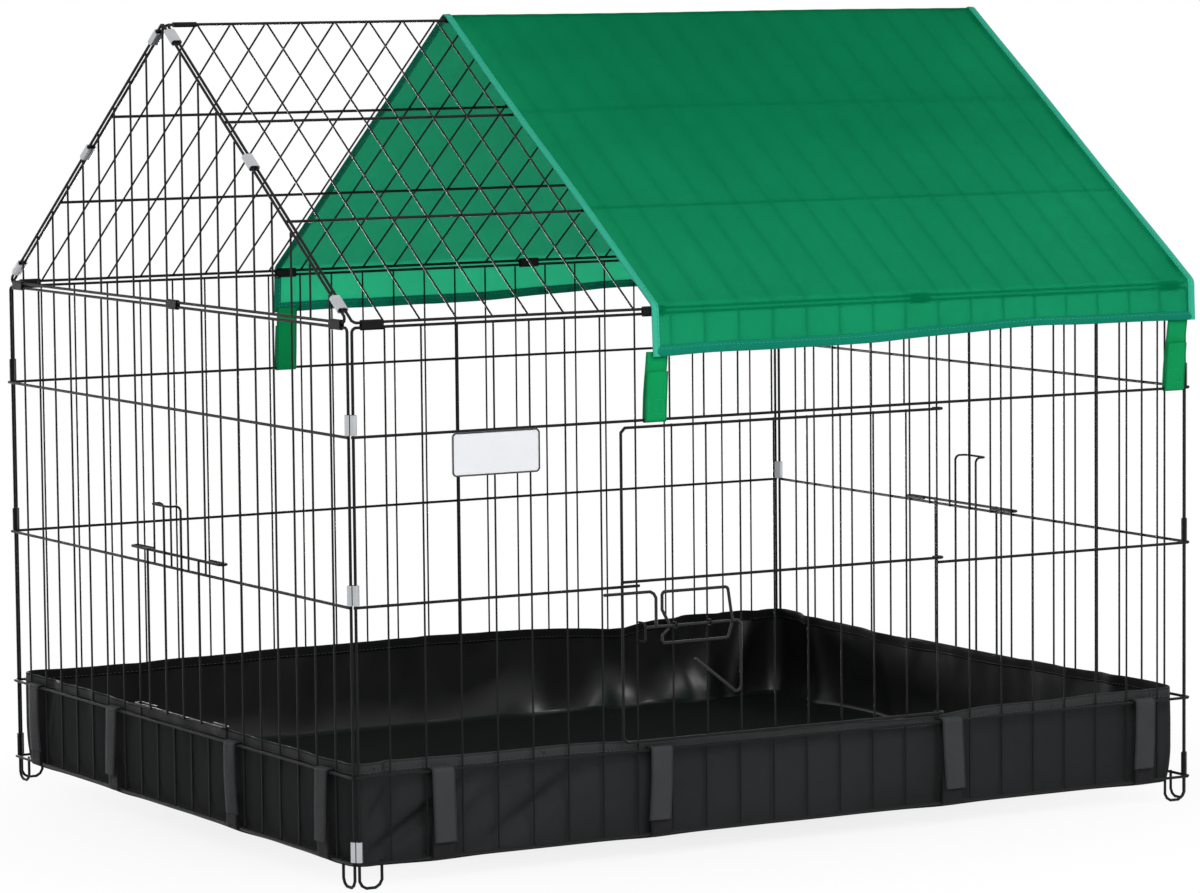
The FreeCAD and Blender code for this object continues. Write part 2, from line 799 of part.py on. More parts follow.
nodes = {
    "front_wall_frame": on_front(wall_frame(front_half)),
    "front_wall_wires": on_front(long_wall_wires(True)),
    "back_wall_frame": on_back(wall_frame(front_half)),
    "back_wall_wires": on_back(long_wall_wires(False)),
    "left_wall_frame": on_left(wall_frame(end_half)),
    "left_wall_wires": on_left(end_wall_wires()),
    "right_wall_frame": on_right(wall_frame(end_half)),
    "right_wall_wires": on_right(end_wall_wires()),
    "left_gable_frame": on_left(gable_frame),
    "left_gable_wires": on_left(gable_wires),
    "right_gable_frame": on_right(gable_frame),
    "right_gable_wires": on_right(gable_wires),
    "front_roof_frame": on_front(roof_frame),
    "front_roof_wires": on_front(roof_wires),
    "back_roof_frame": on_back(roof_frame),
    "back_roof_wires": on_back(roof_wires),
    "front_door_frame": on_front(door_frame),
    "front_door_rod": on_front(door_rod),
    "front_door_wires": on_front(door_wires),
    "front_bolt": on_front(front_bolt()),
    "front_bolt_handle": on_front(front_bolt_handle()),
    "bolt_guides": on_front(bolt_guides()),
    "bolt_keeper": on_front(bolt_keeper()),
    "left_lift_door": on_left(lift_door(left_lift_low)),
    "right_lift_door": on_right(lift_door(right_lift_low)),
    "name_plate": on_front(name_plate()),
    "name_plate_border": on_front(name_plate_border()),
    "front_left_corner_clips": corner_sleeves(clip, -1, -1),
    "back_right_corner_clips": corner_sleeves(clip, 1, 1),
    "back_left_corner_hinges": corner_sleeves(hinge, -1, 1),
    "front_right_corner_hinges": corner_sleeves(hinge, 1, -1),
    "front_left_rake_clips": on_front(rake_clips(-1)),
    "front_right_rake_clips": on_front(rake_clips(1)),
    "back_left_rake_clips": on_back(rake_clips(1)),
    "back_right_rake_clips": on_back(rake_clips(-1)),
    "front_eave_hinges": on_front(eave_hinges()),
    "back_eave_hinges": on_back(eave_hinges()),
    "ridge_hinges": ridge_hinges(),
    "left_gable_hinges": on_left(gable_hinges()),
    "right_gable_hinges": on_right(gable_hinges()),
    "tray": tray(),
    "cover": on_front(cover()),
}

# Tray straps, numbered from the left as each wall is seen from outside
end_strap_spaces = [end_strap_outer_space, end_strap_inner_space]
end_strap_spaces += [end_spaces - 1 - space for space in end_strap_spaces[::-1]]
end_strap_places = [upright_x(space, end_half, end_pitch) + end_pitch / 2 for space in end_strap_spaces]
front_strap_places = [(share - 0.5) * width for share in front_strap_shares]
back_strap_places = [-x for x in front_strap_places[::-1]]
strap_sides = {
    "front": (on_front, front_strap_places, tray_inset),
    "back": (on_back, back_strap_places, tray_inset),
    "left": (on_left, end_strap_places, tray_inset_left),
    "right": (on_right, end_strap_places, tray_inset),
}
for side, (move, places, inset) in strap_sides.items():
    reach = inset - rest_gap
    nodes[f"{side}_tray_flaps"] = move(Part.makeCompound([tray_flap(x, reach) for x in places]))
    nodes[f"{side}_tray_tabs"] = move(Part.makeCompound([tray_tab(x, reach) for x in places]))

cover_left_strap = (cover_strap_left_share - 0.5) * width
cover_right_strap = (cover_strap_right_share - 0.5) * width
nodes["front_left_cover_strap"] = on_front(cover_strap(cover_left_strap))
nodes["front_right_cover_strap"] = on_front(cover_strap(cover_right_strap))
nodes["back_left_cover_strap"] = on_back(cover_strap(-cover_left_strap))
nodes["back_right_cover_strap"] = on_back(cover_strap(-cover_right_strap))

os.makedirs("parts", exist_ok=True)
for name, shape in nodes.items():
    shape.exportStep(f"parts/{name}.step")
    state = "valid" if shape.isValid() else "INVALID"
    print(name, len(shape.Solids), "solids", round(shape.Volume), "mm3", state)
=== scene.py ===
import bpy
import json
import numpy as np
from mathutils import Matrix


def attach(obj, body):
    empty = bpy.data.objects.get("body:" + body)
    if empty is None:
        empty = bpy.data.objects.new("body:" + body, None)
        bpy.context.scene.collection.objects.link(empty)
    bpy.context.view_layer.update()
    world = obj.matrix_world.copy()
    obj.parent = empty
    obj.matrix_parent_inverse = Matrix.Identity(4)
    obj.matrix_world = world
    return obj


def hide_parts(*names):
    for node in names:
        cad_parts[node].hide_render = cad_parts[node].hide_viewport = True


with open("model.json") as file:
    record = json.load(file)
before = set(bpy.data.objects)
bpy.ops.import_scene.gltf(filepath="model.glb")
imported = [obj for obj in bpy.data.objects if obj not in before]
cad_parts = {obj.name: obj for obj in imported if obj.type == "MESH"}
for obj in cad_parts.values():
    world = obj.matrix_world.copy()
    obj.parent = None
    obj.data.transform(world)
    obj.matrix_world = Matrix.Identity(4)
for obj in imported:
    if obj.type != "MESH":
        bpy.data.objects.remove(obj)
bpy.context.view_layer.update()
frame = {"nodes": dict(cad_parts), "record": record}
nodes = frame["nodes"]
scene = bpy.context.scene

# Sizes of the cage in metres, as in the CAD source
WALL_X = 0.500
WALL_Y = 0.415
LOW_RAIL = 0.111
BOTTOM_RAIL = 0.026
UPPER_RAIL = 0.444
RAIL = 0.0028
END_STEP = 0.0415
ROOF_STEP = 0.04
STRAP_WIDTH = 0.025
MM = 0.001

# Thickness of the sheets and tapes
TRAY_SHEET = 0.0009
COVER_SHEET = 0.0006
STRAP_SHEET = 0.0010
TAB_SHEET = 0.0012


# Lines and meshes from numpy arrays

def unit(vectors):
    """Vectors of length 1 in the same directions."""
    return vectors / np.linalg.norm(vectors, axis=-1, keepdims=True)


def run_along(line):
    """Length along a line of points, from 0 at its first point."""
    return np.concatenate([[0], np.cumsum(np.linalg.norm(np.diff(line, axis=0), axis=1))])


def sample(where, run, values):
    """Values (n, k) that are given along a run, read at other places on it."""
    return np.stack([np.interp(where, run, column) for column in values.T], axis=1)


def squared(wave, power):
    """A sine or cosine raised to a power below 1, with its sign, for an oval with flat sides."""
    return np.sign(wave) * np.abs(wave) ** power


def new_piece(name, verts, faces, uv=None):
    """A mesh object at the origin, smooth shaded, from an (n, 3) array and a list of faces.

    uv, where given, has one (u, v) pair in metres for each vertex and becomes the map "cloth".
    """
    mesh = bpy.data.meshes.new(name)
    mesh.from_pydata(np.asarray(verts, float), [], faces)
    mesh.polygons.foreach_set("use_smooth", np.ones(len(mesh.polygons), bool))
    if uv is not None:
        layer = mesh.uv_layers.new(name="cloth")
        corner = np.empty(len(mesh.loops), int)
        mesh.loops.foreach_get("vertex_index", corner)
        layer.data.foreach_set("uv", np.asarray(uv, float)[corner].ravel())
    mesh.update()
    piece = bpy.data.objects.new(name, mesh)
    scene.collection.objects.link(piece)
    return piece


def number_faces(piece, numbers):
    """Give each face of a piece the number of its material."""
    piece.data.polygons.foreach_set("material_index", np.asarray(numbers).astype(np.int32))


def grid_faces(rows, cols, loop_rows=False, loop_cols=False, start=0):
    """Quads of a rows x cols grid of vertices that are numbered row by row from start.

    A looped side joins its end to its start.
    """
    r = np.arange(rows if loop_rows else rows - 1)[:, None]
    c = np.arange(cols if loop_cols else cols - 1)[None, :]
    below, right = (r + 1) % rows, (c + 1) % cols
    corners = [r * cols + c, r * cols + right, below * cols + right, below * cols + c]
    return np.stack(corners, axis=-1).reshape(-1, 4) + start


def thicken(piece, thickness, offset=0.0, next_material=0):
    """Solidify gives a sheet its thickness; offset 0 shares it between both sides.

    The new faces take the material that is next_material further on in the list.
    """
    solid = piece.modifiers.new("cloth thickness", "SOLIDIFY")
    solid.thickness = thickness
    solid.offset = offset
    solid.material_offset = next_material
    solid.material_offset_rim = next_material
    return piece


def smooth_path(points, radius, step=0.0015):
    """Points (n, k) joined by straight runs with rounded corners, resampled at equal steps.

    Each corner is replaced by a quadratic Bezier that reaches radius along both of its runs.
    """
    points = np.asarray(points, float)
    t = np.linspace(0, 1, 9)[:, None]
    pieces = [points[:1]]
    for before, corner, after in zip(points, points[1:], points[2:]):
        into, out = before - corner, after - corner
        a = corner + into * min(0.5, radius / np.linalg.norm(into))
        b = corner + out * min(0.5, radius / np.linalg.norm(out))
        pieces.append((1 - t) ** 2 * a + 2 * t * (1 - t) * corner + t ** 2 * b)
    pieces.append(points[-1:])
    line = np.concatenate(pieces)
    run = run_along(line)
    even = np.linspace(0, run[-1], max(8, int(run[-1] / step)))
    return sample(even, run, line)


STITCH_RINGS, STITCH_SIDES = 5, 6


def stitch_row(line, out, pitch, thread):
    """One row of stitches as vertices, quads and end caps: capsules set along a line at equal steps.

    line is (n, 3) and out (n, 3) its outward direction. A stitch is a ring of points carried along
    two thirds of the pitch, its radius thread * sqrt(1 - 0.9 t^2) for t from -1 to 1.
    """
    run = run_along(line)
    at = np.arange(pitch, run[-1] - pitch / 2, pitch)
    half = pitch / 3
    centre, normal = sample(at, run, line), unit(sample(at, run, out))
    ahead = unit(sample(at + half, run, line) - sample(at - half, run, line))
    side = np.cross(ahead, normal)
    t = np.linspace(-1, 1, STITCH_RINGS)[None, :, None, None]
    turn = np.linspace(0, 2 * np.pi, STITCH_SIDES, endpoint=False)[None, None, :, None]
    ring = side[:, None, None] * np.cos(turn) + normal[:, None, None] * np.sin(turn)
    radius = thread * np.sqrt(1 - 0.9 * t ** 2)
    verts = centre[:, None, None] + ahead[:, None, None] * t * half + ring * radius
    first = np.arange(STITCH_SIDES)
    last = first[::-1] + (STITCH_RINGS - 1) * STITCH_SIDES
    start = np.arange(len(at))[:, None, None] * STITCH_RINGS * STITCH_SIDES
    quads = grid_faces(STITCH_RINGS, STITCH_SIDES, loop_cols=True)[None, :, ::-1] + start
    caps = np.stack([first, last])[None] + start
    return verts.reshape(-1, 3), quads.reshape(-1, 4), caps.reshape(-1, STITCH_SIDES)


def stitching(name, rows, pitch=0.005, thread=0.00042):
    """Rows of stitches, each a (line, out) pair, as one piece."""
    verts, faces, start = [], [], 0
    for line, out in rows:
        more, quads, caps = stitch_row(line, out, pitch, thread)
        verts.append(more)
        faces += [*(quads + start).tolist(), *(caps + start).tolist()]
        start += len(more)
    return new_piece(name, np.concatenate(verts), faces)


# Shader helpers

def srgb(r, g, b):
    """Linear colour with alpha of an sRGB colour given in 0 to 255."""
    value = np.array([r, g, b], float) / 255
    linear = np.where(value <= 0.04045, value / 12.92, ((value + 0.055) / 1.055) ** 2.4)
    return (*linear, 1.0)


class Nodes:
    """Short calls to place and join the nodes of one tree."""

    def __init__(self, tree):
        self.tree = tree

    def join(self, socket, value):
        """Link a socket to another node's output, or set it to a plain value."""
        if isinstance(value, bpy.types.NodeSocket):
            self.tree.links.new(value, socket)
        else:
            socket.default_value = value

    def put(self, node, name, value):
        """Join an input by its name, or by its number where that is given as _0, _1 and so on."""
        numbered = name[0] == "_" and name[1:].isdigit()
        self.join(node.inputs[int(name[1:]) if numbered else name.replace("_", " ")], value)

    def add(self, kind, **sockets):
        node = self.tree.nodes.new(kind)
        for name, value in sockets.items():
            self.put(node, name, value)
        return node

    def group(self, tree, **sockets):
        node = self.add("ShaderNodeGroup")
        node.node_tree = tree
        for name, value in sockets.items():
            self.put(node, name, value)
        return node

    def math(self, operation, a, b, clamp=False):
        node = self.add("ShaderNodeMath", _0=a, _1=b)
        node.operation = operation
        node.use_clamp = clamp
        return node.outputs[0]

    def distance(self, a, b):
        """How far apart two values are."""
        return self.math("ABSOLUTE", self.math("SUBTRACT", a, b), 0.0)

    def noise(self, vector, scale, detail):
        node = self.add("ShaderNodeTexNoise", Vector=vector, Scale=scale, Detail=detail)
        return node.outputs["Fac"]

    def wave(self, vector, scale, direction):
        """Sine bands across a direction, from 0 to 1."""
        node = self.add("ShaderNodeTexWave", Vector=vector, Scale=scale)
        node.wave_type = "BANDS"
        node.bands_direction = direction
        node.wave_profile = "SIN"
        return node.outputs["Fac"]

    def spread(self, value, low, high, to_low, to_high):
        """The value's range from low to high, spread to another range."""
        node = self.add("ShaderNodeMapRange", Value=value, From_Min=low, From_Max=high,
                        To_Min=to_low, To_Max=to_high)
        return node.outputs[0]

    def toned(self, colour, tone):
        """The colour times a grey tone."""
        grey = self.add("ShaderNodeCombineColor", Red=tone, Green=tone, Blue=tone).outputs[0]
        node = self.add("ShaderNodeMix")
        node.data_type = "RGBA"
        node.blend_type = "MULTIPLY"
        for place, value in ((0, 1.0), (6, colour), (7, grey)):
            self.join(node.inputs[place], value)
        return node.outputs[2]

    def mapped(self, vector, scale=(1, 1, 1), turn=(0, 0, 0)):
        return self.add("ShaderNodeMapping", Vector=vector, Scale=scale, Rotation=turn).outputs[0]


def new_group(name, inputs, outputs):
    """An empty shader node group: a Vector and the named float inputs, and float outputs."""
    group = bpy.data.node_groups.new(name, "ShaderNodeTree")
    add = group.interface.new_socket
    add(name="Vector", in_out="INPUT", socket_type="NodeSocketVector")
    for label, value in inputs.items():
        add(name=label, in_out="INPUT", socket_type="NodeSocketFloat").default_value = value
    for label in outputs:
        add(name=label, in_out="OUTPUT", socket_type="NodeSocketFloat")
    n = Nodes(group)
    return group, n, n.add("NodeGroupInput").outputs, n.add("NodeGroupOutput")


def weave_group():
    """Plain weave: two crossed sine bands, warp and weft, whose mean is the height of the threads.

    Height goes to a bump, and Shade, near 1, is painted shade that darkens the colour between the
    threads.
    """
    group, n, given, made = new_group("plain weave", {"Threads": 900.0, "Depth": 0.3},
                                      ["Height", "Shade"])
    warp = n.wave(given["Vector"], given["Threads"], "X")
    weft = n.wave(given["Vector"], given["Threads"], "Y")
    height = n.math("MULTIPLY", n.math("ADD", warp, weft), 0.5)
    fall = n.math("MULTIPLY", n.math("SUBTRACT", 1.0, height), given["Depth"])
    n.put(made, "Height", height)
    n.put(made, "Shade", n.math("SUBTRACT", 1.0, fall))
    return group


def mottle_group():
    """Soft uneven tone: two noises of different size, spread about 1 by the given amount.

    Fine is the smaller noise alone, from 0 to 1.
    """
    group, n, given, made = new_group("soft mottle", {"Scale": 8.0, "Amount": 0.2},
                                      ["Tone", "Fine"])
    broad = n.noise(given["Vector"], given["Scale"], 2.0)
    fine = n.noise(given["Vector"], n.math("MULTIPLY", given["Scale"], 9.0), 4.0)
    both = n.math("ADD", n.math("MULTIPLY", broad, 0.7), n.math("MULTIPLY", fine, 0.3))
    amount = n.math("MULTIPLY", given["Amount"], 2.0)
    swing = n.math("MULTIPLY", n.math("SUBTRACT", both, 0.5), amount)
    n.put(made, "Tone", n.math("ADD", 1.0, swing))
    n.put(made, "Fine", fine)
    return group


WEAVE = weave_group()
MOTTLE = mottle_group()


def new_material(name):
    """Material with a new tree: returns it, its node helper, its Principled BSDF and its output."""
    material = bpy.data.materials.new(name)
    material.use_nodes = True
    material.node_tree.nodes.clear()
    n = Nodes(material.node_tree)
    shader = n.add("ShaderNodeBsdfPrincipled")
    output = n.add("ShaderNodeOutputMaterial", Surface=shader.outputs[0])
    return material, n, shader, output


def clouded(n, shader, cloud, low, high):
    """Roughness from low to high, as a noise goes from low to high."""
    n.put(shader, "Roughness", n.spread(cloud, 0.2, 0.8, low, high))


def bumped(n, shader, height, strength, distance):
    """Bump of a height on the shader's normal."""
    bump = n.add("ShaderNodeBump", Height=height, Strength=strength, Distance=distance)
    n.put(shader, "Normal", bump.outputs[0])


def coated_metal(name, colour, roughness, mottle, gloss=0.11):
    """Powder coat: a fine orange-peel bump, and slightly uneven tone and gloss."""
    material, n, shader, _ = new_material(name)
    where = n.add("ShaderNodeTexCoord").outputs["Object"]
    soft = n.group(MOTTLE, Vector=where, Scale=14.0, Amount=mottle).outputs
    n.put(shader, "Base Color", n.toned(colour, soft["Tone"]))
    clouded(n, shader, soft["Fine"], roughness - 0.07, roughness + 0.07)
    shader.inputs["Specular IOR Level"].default_value = gloss
    bumped(n, shader, n.noise(where, 2600.0, 2.0), 0.12, 0.0002)
    return material


def zinc_plate(name):
    """Bright satin plating: fine lines drawn along z in gloss and bump, and a clouded tone."""
    material, n, shader, _ = new_material(name)
    where = n.add("ShaderNodeTexCoord").outputs["Object"]
    drawn = n.noise(n.mapped(where, (900, 900, 60)), 1.0, 3.0)
    cloud = n.group(MOTTLE, Vector=where, Scale=60.0, Amount=0.18).outputs
    n.put(shader, "Base Color", n.toned(srgb(184, 186, 190), cloud["Tone"]))
    shader.inputs["Metallic"].default_value = 1.0
    clouded(n, shader, drawn, 0.26, 0.44)
    bumped(n, shader, drawn, 0.1, 0.0002)
    return material


def plain_plastic(name, colour, roughness):
    """Smooth plastic sheet or thread: a faint haze in its gloss and a very fine grain."""
    material, n, shader, _ = new_material(name)
    where = n.add("ShaderNodeTexCoord").outputs["Object"]
    soft = n.group(MOTTLE, Vector=where, Scale=30.0, Amount=0.05).outputs
    n.put(shader, "Base Color", n.toned(colour, soft["Tone"]))
    clouded(n, shader, soft["Fine"], roughness - 0.05, roughness + 0.05)
    bumped(n, shader, n.noise(where, 1400.0, 2.0), 0.05, 0.0002)
    return material


def coated_cloth(name, colour, roughness, threads, mottle, gloss, crease, through=None, wires=None):
    """Woven cloth with a coating: weave and creases in the bump, uneven tone, gloss of a given level.

    The weave follows the map "cloth" in metres. through, where given, is the colour of light that
    comes through the cloth, mixed in with a Translucent BSDF. wires, where given, is the spacing of
    wires under the cloth, whose shadow is painted into the colour as faint darker lines.
    """
    material, n, shader, output = new_material(name)
    coords = n.add("ShaderNodeTexCoord").outputs
    cloth, where = coords["UV"], coords["Object"]
    weave = n.group(WEAVE, Vector=cloth, Threads=threads, Depth=0.22).outputs
    soft = n.group(MOTTLE, Vector=where, Scale=9.0, Amount=mottle).outputs
    # Tone: painted shade between the threads, times an uneven tone.
    tone = n.math("MULTIPLY", weave["Shade"], soft["Tone"])
    # Painted shadow of the wires under the cloth: faint darker lines in the colour at their spacing.
    if wires:
        across = n.add("ShaderNodeSeparateXYZ", Vector=cloth).outputs[0]
        part = n.math("FRACT", n.math("DIVIDE", across, wires), 0.0)
        shadow = n.spread(n.distance(part, 0.5), 0.02, 0.06, 0.98, 1.0)
        tone = n.math("MULTIPLY", tone, shadow)
    n.put(shader, "Base Color", n.toned(colour, tone))
    clouded(n, shader, soft["Fine"], roughness - 0.02, roughness + 0.02)
    shader.inputs["Specular IOR Level"].default_value = gloss
    folds = n.noise(n.mapped(where, (1.0, 1.0, 2.2)), 26.0, 3.0)
    height = n.math("ADD", n.math("MULTIPLY", weave["Height"], 0.004),
                    n.math("MULTIPLY", folds, crease))
    bumped(n, shader, height, 0.7, 0.004)
    if through:
        glow = n.add("ShaderNodeBsdfTranslucent", Color=n.toned(through, tone))
        mix = n.add("ShaderNodeMixShader", _0=0.5, _1=shader.outputs[0], _2=glow.outputs[0])
        n.put(output, "Surface", mix.outputs[0])
    return material


TAPE_RIBS = 420.0


def woven_tape(name, colour, mottle):
    """Webbing: ribs across its width with their grooves painted darker as shade, a finer twill over
    them, darker selvedges and a soft sheen.

    The map "cloth" runs across the tape in u, from 0 at one selvedge, and along it in v, in metres.
    """
    material, n, shader, _ = new_material(name)
    coords = n.add("ShaderNodeTexCoord").outputs
    cloth, where = coords["UV"], coords["Object"]
    rib = n.wave(cloth, TAPE_RIBS, "Y")
    twill = n.wave(n.mapped(cloth, turn=(0, 0, 0.9)), TAPE_RIBS * 1.7, "X")
    soft = n.group(MOTTLE, Vector=where, Scale=40.0, Amount=mottle).outputs
    across = n.add("ShaderNodeSeparateXYZ", Vector=cloth).outputs[0]
    edge = n.distance(across, STRAP_WIDTH / 2)
    selvedge = n.spread(edge, STRAP_WIDTH * 0.40, STRAP_WIDTH * 0.46, 1.0, 0.72)
    # Tone: uneven, darker at the selvedges, and painted darker as shade in the grooves between the
    # ribs.
    tone = n.math("MULTIPLY", n.math("MULTIPLY", soft["Tone"], selvedge),
                  n.spread(rib, 0.0, 1.0, 0.82, 1.08))
    n.put(shader, "Base Color", n.toned(colour, tone))
    clouded(n, shader, soft["Fine"], 0.55, 0.75)
    shader.inputs["Specular IOR Level"].default_value = 0.08
    height = n.math("ADD", n.math("MULTIPLY", rib, 0.7), n.math("MULTIPLY", twill, 0.3))
    bumped(n, shader, height, 0.5, 0.0006)
    return material


# Finishes

black_wire = coated_metal("black powder coat on wire", srgb(22, 22, 23),
                          roughness=0.46, mottle=0.25)
black_bolt = coated_metal("smooth black coat on the bolt", srgb(16, 16, 17),
                          roughness=0.26, mottle=0.25, gloss=0.3)
black_sleeve = coated_metal("black powder coat on sheet", srgb(11, 11, 12),
                            roughness=0.42, mottle=0.3)
zinc = zinc_plate("satin zinc plating")
plate_white = plain_plastic("white plate", srgb(214, 215, 218), roughness=0.32)
plate_dark = plain_plastic("dark plate border", srgb(38, 38, 42), roughness=0.3)
# The tray's outer face, inside wall and floor are one cloth. Their gloss differs, and so do their
# base colours, which are set to the tone each place renders at: painted shade makes the inside wall
# darker than the outer face, and painted light makes the floor lighter than the inside wall.
tray_cloth = coated_cloth("black coated tray cloth", srgb(44, 45, 46), roughness=0.45,
                          threads=500.0, mottle=0.3, gloss=0.008, crease=0.3)
tray_inside = coated_cloth("glossy inside of the tray cloth in painted shade", srgb(28, 28, 28), roughness=0.3,
                           threads=500.0, mottle=0.2, gloss=0.25, crease=0.015)
tray_floor = coated_cloth("dull floor of the tray cloth in painted light", srgb(42, 42, 42), roughness=0.6,
                          threads=500.0, mottle=0.2, gloss=0.0, crease=0.2)
tray_hem_cloth = coated_cloth("black hem tape", srgb(52, 53, 54), roughness=0.6,
                              threads=700.0, mottle=0.25, gloss=0.08, crease=0.1)
# The hem's inner half is the same tape as its outer half, painted darker as shade.
tray_hem_inside = coated_cloth("inner side of the hem tape in painted shade", srgb(27, 27, 28), roughness=0.6,
                               threads=700.0, mottle=0.25, gloss=0.02, crease=0.1)
black_tape = woven_tape("black webbing", srgb(58, 59, 61), mottle=0.25)
tab_tape = woven_tape("black tab webbing", srgb(30, 30, 32), mottle=0.25)
cover_cloth = coated_cloth("green coated cover cloth", srgb(0, 128, 82), roughness=0.75,
                           threads=620.0, mottle=0.12, gloss=0.02, crease=0.08,
                           through=(0.20, 0.80, 0.57, 1.0), wires=ROOF_STEP)
rake_binding = coated_cloth("light teal binding tape", srgb(52, 172, 142), roughness=0.7,
                            threads=800.0, mottle=0.15, gloss=0.08, crease=0.05)
# The teal hem tape is the hems' own colour, and it also stands as painted shade on the inner half of
# the light teal rake bindings.
hem_tape_and_rake_shade = coated_cloth("teal hem tape, also the rake binding's painted shade", srgb(4, 122, 97), roughness=0.7,
                           threads=800.0, mottle=0.15, gloss=0.08, crease=0.05)
green_tape = woven_tape("green webbing", srgb(0, 146, 82), mottle=0.2)
black_thread = plain_plastic("black thread", srgb(46, 47, 49), roughness=0.6)
green_thread = plain_plastic("green thread", srgb(20, 140, 100), roughness=0.6)

finishes = {
    "black_wire": black_wire,
    "black_sleeve": black_sleeve,
    "zinc_clip": zinc,
    "plate_face": plate_white,
    "plate_border": plate_dark,
    "tray_fabric": tray_cloth,
    "black_webbing": black_tape,
    "cover_fabric": cover_cloth,
    "green_webbing": green_tape,
}
for part in frame["record"]["subparts"]:
    skin = nodes[part["node"]].data.materials
    skin.clear()
    skin.append(finishes[part["material_slot"]])
for node in ("front_bolt", "front_bolt_handle"):
    nodes[node].data.materials[0] = black_bolt


def dress(piece, materials, slot, *replaced):
    """Give a new piece its materials and its body, and hide the nodes that it stands for. slot is not
    used.
    """
    for skin in materials:
        piece.data.materials.append(skin)
    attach(piece, "cage")
    if replaced:
        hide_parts(*replaced)
    return piece


# Fabric tray: its four walls are numbered 0 front, 1 right, 2 back and 3 left, as they follow
# round it, and every second leg of its loop is a wall

TRAY_LEFT, TRAY_RIGHT, TRAY_SIDE = -0.4968, 0.4913, 0.4063
TRAY_BASE, TRAY_RIM, TRAY_CORNER = 0.020, 0.123, 0.020
TRAY_FLOOR = TRAY_BASE + 0.0018
TRAY_HEIGHT = TRAY_RIM - TRAY_BASE
TRAY_MIDDLE = (TRAY_LEFT + TRAY_RIGHT) / 2
HALF_FRONT = (TRAY_RIGHT - TRAY_LEFT) / 2 - TRAY_CORNER
HALF_END = TRAY_SIDE - TRAY_CORNER
TRAY_POINTS = 640
FRONT_STRAPS = np.array([-0.405, -0.156, 0.194, 0.440])
END_STRAPS = (np.array([1, 6, 13, 18]) + 0.5) * END_STEP - WALL_Y

# Height of the rim along each wall: place in x or y and height, in millimetres
RIM = [
    [(-477, 122.5), (-412, 122.8), (-334, 122.8), (-220, 121.5), (-140, 119.2), (16, 116.8),
     (181, 115.5), (222, 118.5), (263, 120), (368, 121.8), (443, 121.3), (472, 121.5)],
    [(-375, 122.5), (-264, 121), (-70, 117), (136, 116), (244, 118.3), (378, 121.8)],
    [(472, 121.5), (440, 122.8), (360, 122), (297, 117), (269, 113.4), (222, 116.5), (180, 119.2),
     (97, 122.3), (-22, 122.8), (-130, 122.5), (-255, 121.6), (-358, 119.7), (-444, 120.5)],
    [(385, 121), (299, 122), (141, 121), (-153, 122), (-335, 121.5)],
]
# Folds: wall, metres from its start, depth and spread in millimetres, slant
FOLDS = [
    (0, 0.014, 5, 8, 0.1), (0, 0.36, 2, 24, 0.3), (0, 0.46, 3, 30, 0.2), (0, 0.56, 2, 24, -0.2),
    (0, 0.70, 3, 26, 0.3), (1, -0.06, 3, 15, 0.4), (1, 0.10, 4, 18, -0.2), (1, 0.33, 3, 30, 0.2),
    (1, 0.55, 5, 18, 0.3), (1, 0.70, 6, 14, 0.4), (2, 0.03, 9, 9, -0.3), (2, 0.075, 7, 10, -0.1),
    (2, 0.12, 8, 12, 0.2), (2, 0.19, 5, 18, 0.3), (2, 0.30, 4, 24, -0.2), (2, 0.47, 5, 18, 0.2),
    (2, 0.62, 3.5, 30, -0.3), (2, 0.81, 5, 20, 0.2), (3, 0.05, 3, 14, 0.3), (3, 0.22, 2, 22, -0.2),
    (3, 0.42, 2, 26, 0.2), (3, 0.61, 2.5, 24, 0.1), (3, 0.74, 3, 15, 0.3),
]
DRAWN_FOLDS = [(0, 0.004, 11, 11, 0.75), (0, 0.066, 16, 15, 1.6),
               (0, 0.122, 9, 16, 0.9), (0, 0.195, 13, 22, 1.5)]
# Coves at the foot of the wall: as folds, without a slant
COVES = [(2, 0.10, 22, 35), (2, 0.21, 20, 30), (2, 0.33, 12, 50), (1, 0.70, 14, 40)]
FOLD_RISE = 0.10
HEM_FOOT = 0.88
HEM_SEAM = 0.009
STRAP_HOLD = 0.035
STRAP_BELLY, STRAP_FOOT, TAB_TOP = 0.075, 0.040, 0.060
MOST_OUT = 0.0008


def tray_loop(count):
    """Rounded rectangle round the tray, anticlockwise from the front-left corner.

    Returns points (n, 2), outward normals (n, 2) and the run along it (n,), at about equal steps,
    and the run at which each of its legs starts: four straight ones, each followed by an arc.
    """
    r = TRAY_CORNER
    wide, deep, arc = 2 * HALF_FRONT, 2 * HALF_END, r * np.pi / 2
    marks = np.concatenate([[0], np.cumsum([wide, arc, deep, arc] * 2)])
    s = np.linspace(0, marks[-1], count, endpoint=False)
    leg = np.searchsorted(marks, s, side="right") - 1
    t = s - marks[leg]
    quarter = leg // 2
    turn = quarter * np.pi / 2
    bend = np.where(leg % 2 == 1, t / r, 0)[:, None]
    straight = np.where(leg % 2 == 0, t, np.where(quarter % 2 == 0, wide, deep))[:, None]
    starts = np.array([[TRAY_LEFT + r, -TRAY_SIDE], [TRAY_RIGHT, -TRAY_SIDE + r],
                       [TRAY_RIGHT - r, TRAY_SIDE], [TRAY_LEFT, TRAY_SIDE - r]])[quarter]
    along = np.stack([np.cos(turn), np.sin(turn)], axis=1)
    outward = np.stack([np.sin(turn), -np.cos(turn)], axis=1)
    curve = r * (along * np.sin(bend) - outward * (1 - np.cos(bend)))
    points = starts + along * straight + curve
    normals = outward * np.cos(bend) + along * np.sin(bend)
    return points, normals, s, marks


